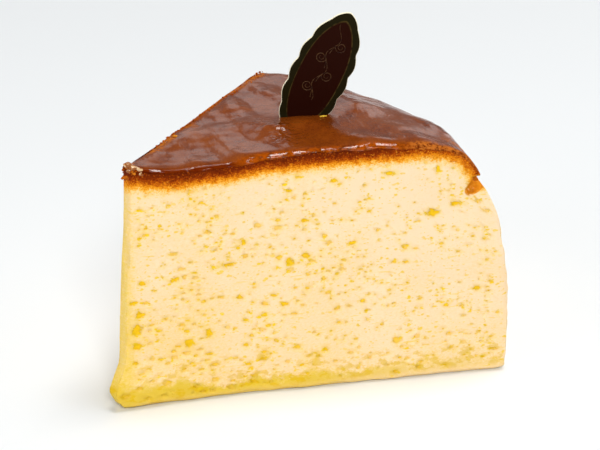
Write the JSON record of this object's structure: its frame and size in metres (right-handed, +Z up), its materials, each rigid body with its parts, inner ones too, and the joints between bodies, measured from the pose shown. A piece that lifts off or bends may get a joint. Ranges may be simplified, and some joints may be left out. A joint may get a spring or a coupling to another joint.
{
  "type": "slice of baked cheesecake",
  "caption": "Wedge-shaped slice of baked souffle cheesecake with a glazed brown top, a porous pale crumb and a leaf-shaped foil card stuck in its top.",
  "frame": {"origin": "middle of the slice's bounding box at the surface that the slice stands on", "axes": "+X runs along the near cut face from the thin tip to the outer wall, -Y faces out of that cut face, +Z is up"},
  "size_m": [0.0938, 0.0772, 0.0832],
  "materials": {
    "baked_crumb": "soft porous pale yellow crumb, moister and deeper yellow at the foot, with a baked brown top skin under a clear glossy glaze",
    "foil_card": "satin dark brown foil with a dull gold rim and a bright cut edge"
  },
  "bodies": {
    "root": {"cheesecake": "baked_crumb", "card": "foil_card"}
  },
  "joints": []
}
